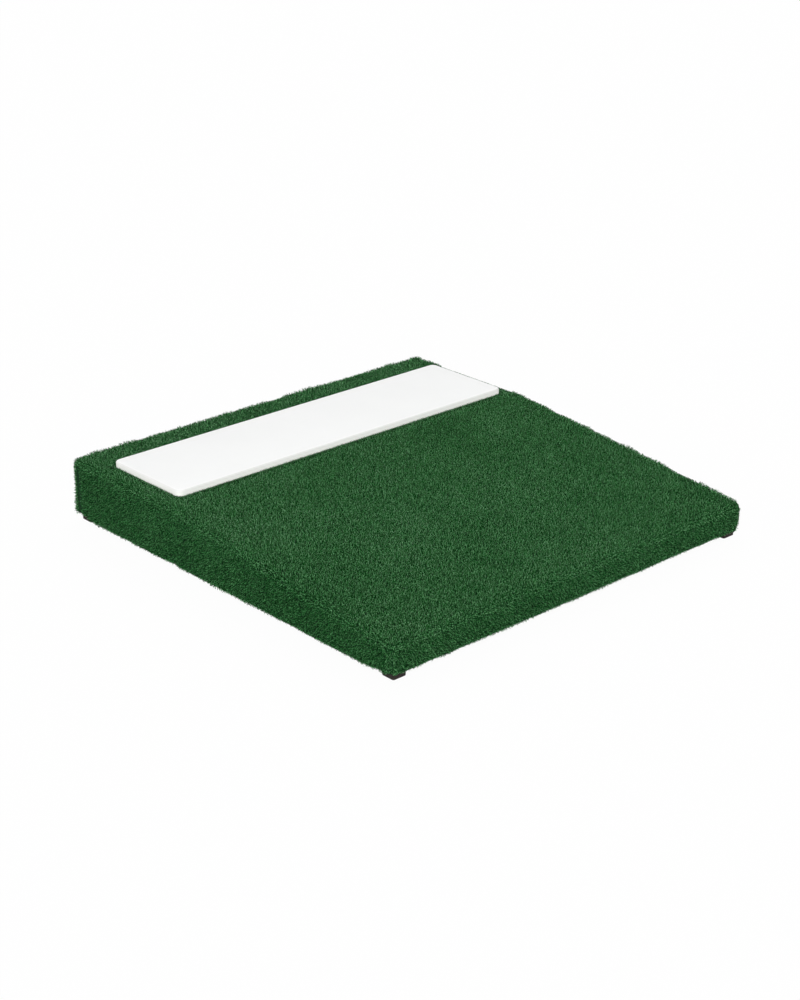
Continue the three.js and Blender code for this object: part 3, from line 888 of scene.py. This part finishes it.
# %% Stand the tufts up
DROOP = 0.3  # how far down a tuft on an upright side leans, as a share of its length
DROOP_BELOW = 0.5  # how far up a face may point before its tufts stop drooping
TILT = math.radians(15)
RUBBER_PRESS = 6 * MM  # how far from the rubber the tufts stand closer and straighter
PRESSED_SHARE = 0.6  # of their own spread and tilt that they keep right beside it

spread = add_node(planting, "ShaderNodeMapRange")
set_inputs(spread, From_Min=CORNER_RADIUS, From_Max=CORNER_RADIUS + RUBBER_PRESS, To_Min=PRESSED_SHARE)
link(from_rubber, spread.inputs["Value"])
facing = add_node(planting, "ShaderNodeSeparateXYZ")
link(scatter.outputs["Normal"], facing.inputs[0])
droop = add_node(planting, "ShaderNodeMapRange")
set_inputs(droop, From_Min=0, From_Max=DROOP_BELOW, To_Min=-DROOP, To_Max=0)
link(facing.outputs["Z"], droop.inputs["Value"])
downward = add_node(planting, "ShaderNodeCombineXYZ")
link(droop.outputs[0], downward.inputs["Z"])
lean = add_node(planting, "ShaderNodeVectorMath", operation="ADD")
link(scatter.outputs["Normal"], lean.inputs[0])
link(downward.outputs[0], lean.inputs[1])
stand = add_node(planting, "FunctionNodeAlignRotationToVector", axis="Z")
link(lean.outputs[0], stand.inputs["Vector"])
tilt = add_node(planting, "ShaderNodeVectorMath", operation="MULTIPLY")
link(random_value("FLOAT_VECTOR", (-TILT, -TILT, 0), (TILT, TILT, 2 * math.pi), 1), tilt.inputs[0])
link(spread.outputs[0], tilt.inputs[1])
jitter = add_node(planting, "FunctionNodeEulerToRotation")
link(tilt.outputs[0], jitter.inputs[0])
turned = add_node(planting, "FunctionNodeRotateRotation", rotation_space="LOCAL")
link(stand.outputs[0], turned.inputs[0])
link(jitter.outputs[0], turned.inputs[1])
print("tufts tilt up to", round(math.degrees(TILT)), "degrees")

# %% Plant them at their height
SWELL_SCALE = 28
SWELL_GAIN = 5.0  # brings the noise to a swing of about one each way

size = scaled(random_value("FLOAT", -1.0, 1.0, 2), given.outputs["Ragged"], 1.0)
waves = set_inputs(add_node(planting, "ShaderNodeTexNoise"), Scale=SWELL_SCALE, Detail=1)
link(spot, waves.inputs["Vector"])
swing = scaled(waves.outputs["Fac"], SWELL_GAIN, -SWELL_GAIN / 2)
swell = scaled(swing, given.outputs["Swell"], 1.0)
stretch = add_node(planting, "ShaderNodeCombineXYZ")
link(spread.outputs[0], stretch.inputs["X"])
link(spread.outputs[0], stretch.inputs["Y"])
link(scaled(scaled(size, swell, 0.0), given.outputs["Length"], 0.0), stretch.inputs["Z"])
stock = add_node(planting, "GeometryNodeCollectionInfo")
set_inputs(stock, Collection=tufts, Separate_Children=True, Reset_Children=True)
planted = set_inputs(add_node(planting, "GeometryNodeInstanceOnPoints"), Pick_Instance=True)
link(clear.outputs[0], planted.inputs["Points"])
link(stock.outputs[0], planted.inputs["Instance"])
link(random_value("INT", 0, TUFT_KINDS - 1, 3), planted.inputs["Instance Index"])
link(turned.outputs[0], planted.inputs["Rotation"])
link(stretch.outputs[0], planted.inputs["Scale"])
print("plants", TUFT_KINDS, "kinds of tuft")

# %% Give them their tint
BLOTCH_SCALE = 9
BLOTCH_TINT = 0.17
TUFT_TINT = 0.08  # how far one tuft may be from its neighbour on the chart
CHART_WIDTH = 0.012  # of one strand's place on the chart

blotch = set_inputs(add_node(planting, "ShaderNodeTexNoise"), Scale=BLOTCH_SCALE, Detail=3)
link(spot, blotch.inputs["Vector"])
patch_tint = scaled(blotch.outputs["Fac"], BLOTCH_TINT, given.outputs["Tint"])
tuft_tint = scaled(random_value("FLOAT", 0.0, 1.0, 4), TUFT_TINT, patch_tint)
keep_tint = add_node(planting, "GeometryNodeStoreNamedAttribute", data_type="FLOAT", domain="INSTANCE")
keep_tint.inputs["Name"].default_value = "tint"
link(planted.outputs[0], keep_tint.inputs["Geometry"])
link(tuft_tint, keep_tint.inputs["Value"])
real = add_node(planting, "GeometryNodeRealizeInstances")
link(keep_tint.outputs[0], real.inputs["Geometry"])
strand_tint = scaled(named("tone"), 1.0, named("tint"))
chart_place = add_node(planting, "ShaderNodeCombineXYZ")
link(scaled(named("across"), CHART_WIDTH, strand_tint), chart_place.inputs["X"])
link(named("along"), chart_place.inputs["Y"])
on_chart = add_node(planting, "GeometryNodeStoreNamedAttribute", data_type="FLOAT2", domain="CORNER")
on_chart.inputs["Name"].default_value = "OFBake"
link(real.outputs[0], on_chart.inputs["Geometry"])
link(chart_place.outputs[0], on_chart.inputs["Value"])
link(on_chart.outputs[0], result.inputs[0])
print("planting group:", len(planting.nodes), "nodes")

# %% Plant every patch
CORNER_FLAP = 13 * MM  # how far the folded corner reaches round onto the sides
NO_SEAM = 10.0  # a seam this far away leaves nothing bare
PLAIN_PILE = {"Spacing": 1.25 * MM, "Length": 0.97, "Ragged": 0.1, "Swell": 0.08,
              "Tint": 0.365, "Seam": NO_SEAM}
# painted shade: the upright sides get a darker tint than the top and the slope
UPRIGHT = {"Length": 0.80, "Tint": 0.255}
FOLDED = {**UPRIGHT, "Seam": turf_high.y - CORNER_FLAP}
SPECIAL_PILE = {
    "plateau_pile": {"Length": 0.85},
    "slope_pile_4": {"Tint": 0.350},  # painted shade: the tint falls towards the right side, away from the light
    "slope_pile_5": {"Tint": 0.335},
    "slope_pile_6": {"Tint": 0.330},
    "hem_pile": {"Spacing": 3.0 * MM, "Length": 0.64},
    "hem_fold_pile": {"Spacing": 1.1 * MM, "Length": 0.45, "Ragged": 0.8, "Swell": 0.4},
    "front_corner_pile": {"Spacing": 1.0 * MM, "Length": 0.4, "Ragged": 0.3, "Tint": 0.31},
    "back_corner_pile": {"Spacing": 1.0 * MM, "Length": 0.95, "Ragged": 0.3, "Tint": 0.31},
    "back_edge_pile": {"Spacing": 1.0 * MM, "Length": 0.85, "Ragged": 0.6, "Swell": 0.3},
    "front_edge_pile": {"Spacing": 1.0 * MM, "Length": 0.7, "Ragged": 0.2, "Swell": 0.2},
    "fold_pile": {"Spacing": 0.9 * MM, "Length": 0.72, "Ragged": 0.8, "Swell": 0.4, "Tint": 0.345},
    # painted light: the collar beside the rubber has a paler tint, which lifts the shade there
    "collar_pile": {"Spacing": 1.35 * MM, "Length": 0.47, "Tint": 0.4},
    "right_rim_pile": {"Spacing": 1.35 * MM, "Length": 0.42},
    "left_side_pile": FOLDED,
    "right_side_pile": FOLDED,
    "back_pile": UPRIGHT,
    # painted light: the front side gets a paler tint than the other upright sides
    "front_pile": {**UPRIGHT, "Tint": 0.295},
}


def plant(patch, values):
    modifier = patch.modifiers.new("pile", "NODES")
    modifier.node_group = planting
    for socket in planting.interface.items_tree:
        if socket.name in values:
            modifier[socket.identifier] = values[socket.name]
    only(patch)
    bpy.ops.object.modifier_apply(modifier=modifier.name)
    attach(patch, "root")
    print(patch.name, faces_of(patch) // faces_of(kinds[0]), "tufts")


for seed, (name, patch) in enumerate(patches.items()):
    plant(patch, {**PLAIN_PILE, **SPECIAL_PILE.get(name, {}), "Seed": seed})
for spare in [*strands, *kinds]:
    bpy.data.objects.remove(spare)
bpy.data.collections.remove(tufts)
print("faces in the pile:", sum(faces_of(patch) for patch in patches.values()))

# %% [markdown]
# ## The backing as a sheet
# Between the tufts the imported yarn shows, its green painted nearly black as painted shade for the depth
# of the pile. Along the cut edge of the hem the woven backing shows, dark green from the latex that
# locks the stitches. Now that the bed has been copied from it, the sheet gets its thickness inwards.

# %% Finish the backing
NOISE_ENDS = (0.3, 0.7)  # the noise lies between these nearly everywhere
# painted shade: the packed yarn is the pile's own green darkened nearly to black, for the shade below the
# tufts
YARN_PAINTED_DEEP_SHADE = ((0.002, 0.012, 0.004), (0.007, 0.045, 0.013))
YARN_GRAIN = 600
WEAVE = ((0.006, 0.022, 0.010), (0.016, 0.050, 0.020))
WEAVE_GRAIN = 700

apply_modifier(backing, "SOLIDIFY", thickness=BACKING, offset=-1)


def noise_at(tree, place, scale, detail=4):
    noise = set_inputs(add_node(tree, "ShaderNodeTexNoise"), Scale=scale, Detail=detail)
    tree.links.new(place, noise.inputs["Vector"])
    return noise.outputs["Fac"]


def noise_finish(name, tones, scale, **settings):
    """A finish that is dark in some small places and pale in others."""
    finish, tree, shader = new_finish(name, **settings)
    place = add_node(tree, "ShaderNodeTexCoord").outputs["Object"]
    stops = tuple(zip(NOISE_ENDS, tones))
    tree.links.new(ramp(tree, stops, noise_at(tree, place, scale)), shader.inputs["Base Color"])
    return finish


packed_shade_finish = noise_finish("packed_yarn_painted_shade", YARN_PAINTED_DEEP_SHADE, YARN_GRAIN, roughness=0.8, specular=0.1)
weave_finish = noise_finish("turf_backing_weave", WEAVE, WEAVE_GRAIN, roughness=0.9, specular=0.2)
mat.data.materials.append(packed_shade_finish)
backing.data.materials.append(weave_finish)
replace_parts(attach(backing, "root"), "turf_cover")

# %% [markdown]
# ## The finish of the rubber
# Moulded rubber is matt and nearly even in colour. Under the hand it has a very fine pebble, which is
# too small to model, so a bump makes it. The sides are a little warmer than the top and nearly the
# palest white, as painted light against the shade of the pile. The rounded edge between them is a little
# greyer, as painted shade that tones down the lamp's highlight there.

# %% White rubber
PEBBLE = 1400
PEBBLE_STRENGTH = 0.15
PEBBLE_DEPTH = 0.2 * MM
CLOUDS = 14  # broad faint clouds on the top
SIDE_TOP = 0.5 * MM  # below the top, where the rounded edge turns into the side
SIDE_DEPTH = 12 * MM
# painted light and shade: the side is nearly the palest white against the pile's shade, and the rounded
# edge greys to tone down the lamp's highlight
EDGE_SHADE_AND_SIDE_LIGHT = (
    (0.0, (0.990, 0.980, 0.945)),
    (0.6, (0.990, 0.980, 0.945)),
    (0.8, (0.900, 0.892, 0.868)),
    (1.0, (0.800, 0.795, 0.780)),
)
TOP_TONES = ((0.3, (0.935, 0.940, 0.935)), (0.7, (0.955, 0.960, 0.955)))

white, tree, shader = new_finish("white_moulded_rubber", roughness=0.6, specular=0.2)
place = add_node(tree, "ShaderNodeTexCoord").outputs["Object"]


def bump_from(tree, shader, height, strength, distance):
    bump = set_inputs(add_node(tree, "ShaderNodeBump"), Strength=strength, Distance=distance)
    tree.links.new(height, bump.inputs["Height"])
    tree.links.new(bump.outputs[0], shader.inputs["Normal"])


level = add_node(tree, "ShaderNodeSeparateXYZ")
tree.links.new(place, level.inputs[0])
side_bottom, side_top = rubber_high.z - SIDE_DEPTH, rubber_high.z - SIDE_TOP
up_side = set_inputs(add_node(tree, "ShaderNodeMapRange"), From_Min=side_bottom, From_Max=side_top)
on_top = set_inputs(add_node(tree, "ShaderNodeMapRange"), From_Min=side_top, From_Max=rubber_high.z)
for span in (up_side, on_top):
    tree.links.new(level.outputs["Z"], span.inputs["Value"])
colour = add_node(tree, "ShaderNodeMix", data_type="RGBA")
tree.links.new(on_top.outputs[0], colour.inputs["Factor"])
tree.links.new(ramp(tree, EDGE_SHADE_AND_SIDE_LIGHT, up_side.outputs[0]), colour.inputs["A"])
tree.links.new(ramp(tree, TOP_TONES, noise_at(tree, place, CLOUDS, detail=5)), colour.inputs["B"])
tree.links.new(colour.outputs["Result"], shader.inputs["Base Color"])
bump_from(tree, shader, noise_at(tree, place, PEBBLE), PEBBLE_STRENGTH, PEBBLE_DEPTH)
rubber.data.materials.append(white)
print("rubber finished")

# %% [markdown]
# ## The feet
# Each corner stands on a square pad of black rubber, held by a screw and a washer in a recess. A pad
# starts as a block. Its upright edges are rounded, its floor edges eased, and the recess and the screw
# hole are cut from below.

# %% Feet
FOOT_CORNER = 3 * MM
FOOT_EASE = 1 * MM
RECESS_RADIUS = 6.5 * MM
RECESS_DEPTH = 5 * MM
SCREW_HOLE = 2.4 * MM
RUBBER_DARK = ((0.010, 0.007, 0.006), (0.022, 0.016, 0.014))
RUBBER_GRAIN = 300


def model_foot(node):
    low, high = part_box(node)
    foot = add_rounded_block(node + "_pad", low, high, FOOT_CORNER)
    open_piece(foot)
    pick("EDGE", lambda edge: middle(edge).z < low.z + NEAR)
    bpy.ops.mesh.bevel(offset=FOOT_EASE, segments=3)
    close_piece()
    centre = (low + high) / 2
    sink_round(foot, centre, RECESS_RADIUS, low.z - MM, low.z + RECESS_DEPTH)
    sink_round(foot, centre, SCREW_HOLE, low.z, high.z + MM)
    only(foot)
    bpy.ops.object.shade_smooth_by_angle(angle=SMOOTH_BELOW)
    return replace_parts(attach(foot, "root"), node)


foot_rubber = noise_finish("black_foot_rubber", RUBBER_DARK, RUBBER_GRAIN, roughness=0.8, specular=0.3)
foot_nodes = [name for name in frame["nodes"] if name.startswith("foot_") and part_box(name)[0].z < NEAR]
for node in foot_nodes:
    model_foot(node).data.materials.append(foot_rubber)
print("feet:", foot_nodes)

# %% [markdown]
# ## Staples in the hem
# The turf is held under the rails by staples, driven through the hem near its cut edge. One staple is
# modelled, a flat wire whose two ends are bent up into the wood, and copied along the hem with a small
# skew, because they are shot by hand.

# %% One staple
CROWN = 10 * MM
WIRE = (1.2 * MM, 0.6 * MM)  # width and thickness
LEG = 3 * MM

wire_low, wire_high = Vector((-CROWN, -WIRE[0], 0)) / 2, Vector((CROWN, WIRE[0], 2 * WIRE[1])) / 2
staple = add_block("staple", wire_low, wire_high)
open_piece(staple)
for end in (-1, 1):
    bpy.ops.mesh.select_all(action="SELECT")
    bpy.ops.mesh.bisect(plane_co=(end * (CROWN / 2 - WIRE[1]), 0, 0), plane_no=(1, 0, 0))
pick("FACE", lambda face: face.normal.z > ALONG and abs(face.calc_center_median().x) > CROWN / 2 - WIRE[1])
bpy.ops.mesh.extrude_region_move(TRANSFORM_OT_translate={"value": (0, 0, LEG)})
close_piece()
print("staple:", faces_of(staple), "faces")

# %% Staples along the hem
STAPLE_STEP = 52 * MM
FROM_CUT_EDGE = 8 * MM
CLEAR_OF_CORNER = 62 * MM
SKEW = math.radians(9)

staple_x = backing_high.x - HEM_WIDTH + FROM_CUT_EDGE
staple_y = backing_high.y - HEM_WIDTH + FROM_CUT_EDGE
crown_low = backing_low.z - WIRE[1]


def places_along(reach):
    count = int(2 * reach / STAPLE_STEP)
    return [-reach + 2 * reach * number / count for number in range(count + 1)]


spots = []
for side in (-1, 1):
    lengthwise = places_along(turf_high.y - CLEAR_OF_CORNER)
    crosswise = places_along(turf_high.x - CLEAR_OF_CORNER)
    spots += [(side * staple_x, place, math.pi / 2) for place in lengthwise]
    spots += [(place, side * staple_y, 0) for place in crosswise]
copies = []
for x, y, turn in spots:
    copy = bpy.data.objects.new("staple", staple.data.copy())
    copy.location = (x, y, crown_low)
    copy.rotation_euler = (0, 0, turn + dice.uniform(-SKEW, SKEW))
    bpy.context.scene.collection.objects.link(copy)
    copies.append(copy)
bpy.data.objects.remove(staple)
staples = join_pieces("hem_staples", copies)
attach(staples, "root")
print("staples:", len(spots))

# %% [markdown]
# ## Wood
# The frame is planed softwood and the deck is plywood, both left bare under the turf. Wood shows long
# fibres and the yearly rings that the saw cut through. Both run along the piece, so the noise that
# makes them is squeezed in that direction. A side rail runs front to back, and a back rail from side to
# side, so there are two kinds.

# %% Wood finishes
RING_STRETCH = 0.06  # how much slower the pattern changes along the grain
RING_SHARE = 0.55  # how strongly the rings show beside the fibres
FIBRES = 900
FIBRE_STRENGTH = 0.25
FIBRE_DEPTH = 0.2 * MM
WOOD_STOPS = (0.25, 0.65, 1.0)
PINE_RINGS = 55
BIRCH_RINGS = 22
PINE = ((0.36, 0.205, 0.085), (0.56, 0.375, 0.190), (0.66, 0.475, 0.270))
BIRCH = ((0.44, 0.300, 0.160), (0.58, 0.425, 0.255), (0.67, 0.520, 0.340))


def wood_finish(name, along, colours, ring_scale):
    finish, tree, shader = new_finish(name, roughness=0.65, specular=0.3)
    place = add_node(tree, "ShaderNodeTexCoord").outputs["Object"]
    squeeze = add_node(tree, "ShaderNodeMapping")
    squeeze.inputs["Scale"].default_value = [RING_STRETCH if axis == along else 1 for axis in "XYZ"]
    tree.links.new(place, squeeze.inputs["Vector"])
    fibres = noise_at(tree, squeeze.outputs[0], FIBRES)
    rings = set_inputs(add_node(tree, "ShaderNodeTexWave", wave_type="RINGS", rings_direction=along),
                       Scale=ring_scale, Distortion=7, Detail=2, Detail_Scale=1.5)
    tree.links.new(squeeze.outputs[0], rings.inputs["Vector"])
    tone = add_node(tree, "ShaderNodeMath", operation="MULTIPLY_ADD")
    tree.links.new(rings.outputs["Fac"], tone.inputs[0])
    tone.inputs[1].default_value = RING_SHARE
    tree.links.new(fibres, tone.inputs[2])
    stops = tuple(zip(WOOD_STOPS, colours))
    tree.links.new(ramp(tree, stops, tone.outputs[0]), shader.inputs["Base Color"])
    bump_from(tree, shader, fibres, FIBRE_STRENGTH, FIBRE_DEPTH)
    return finish


pine_lengthwise = wood_finish("planed_pine_front_to_back", "Y", PINE, PINE_RINGS)
pine_crosswise = wood_finish("planed_pine_side_to_side", "X", PINE, PINE_RINGS)
birch_ply = wood_finish("birch_plywood", "X", BIRCH, BIRCH_RINGS)
print("wood finishes: 3")

# %% [markdown]
# ## Metal
# The screws, washers and staples are zinc plated, which dulls to a patchy blue grey. The inserts are
# turned brass.

# %% Metal finishes
ZINC = ((0.42, 0.44, 0.47), (0.60, 0.61, 0.62))
ZINC_GRAIN = 220
BRASS = ((0.40, 0.26, 0.08), (0.56, 0.40, 0.15))
BRASS_GRAIN = 160

zinc = noise_finish("dull_zinc_plate", ZINC, ZINC_GRAIN, roughness=0.38, metallic=1.0)
turned_brass = noise_finish("turned_brass", BRASS, BRASS_GRAIN, roughness=0.35, metallic=1.0)
staples.data.materials.append(zinc)


def finish_for(node, slot):
    if slot == "lumber":
        low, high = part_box(node)
        return pine_crosswise if high.x - low.x > high.y - low.y else pine_lengthwise
    return {"plywood": birch_ply, "zinc_steel": zinc, "brass": turned_brass, "black_rubber": foot_rubber,
            "white_rubber": white, "green_turf": yarn}[slot]


for part in frame["record"]["subparts"]:
    node = frame["nodes"][part["node"]]
    node.data.materials.clear()
    node.data.materials.append(finish_for(part["node"], part["material_slot"]))

# %% [markdown]
# ## Sizes
# Both boxes are printed side by side, to show how far the dressed mound stands proud of the
# construction. The dressed mound may stand only a little proud of the construction.

# %% Sizes
visual_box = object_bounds()
for axis in range(3):
    cad_side = CAD_BOX[1][axis] - CAD_BOX[0][axis]
    visual_side = visual_box[1][axis] - visual_box[0][axis]
    sides = [round(side / MM, 1) for side in (cad_side, visual_side)]
    print("XYZ"[axis], sides[0], "mm in the construction,", sides[1], "mm dressed")
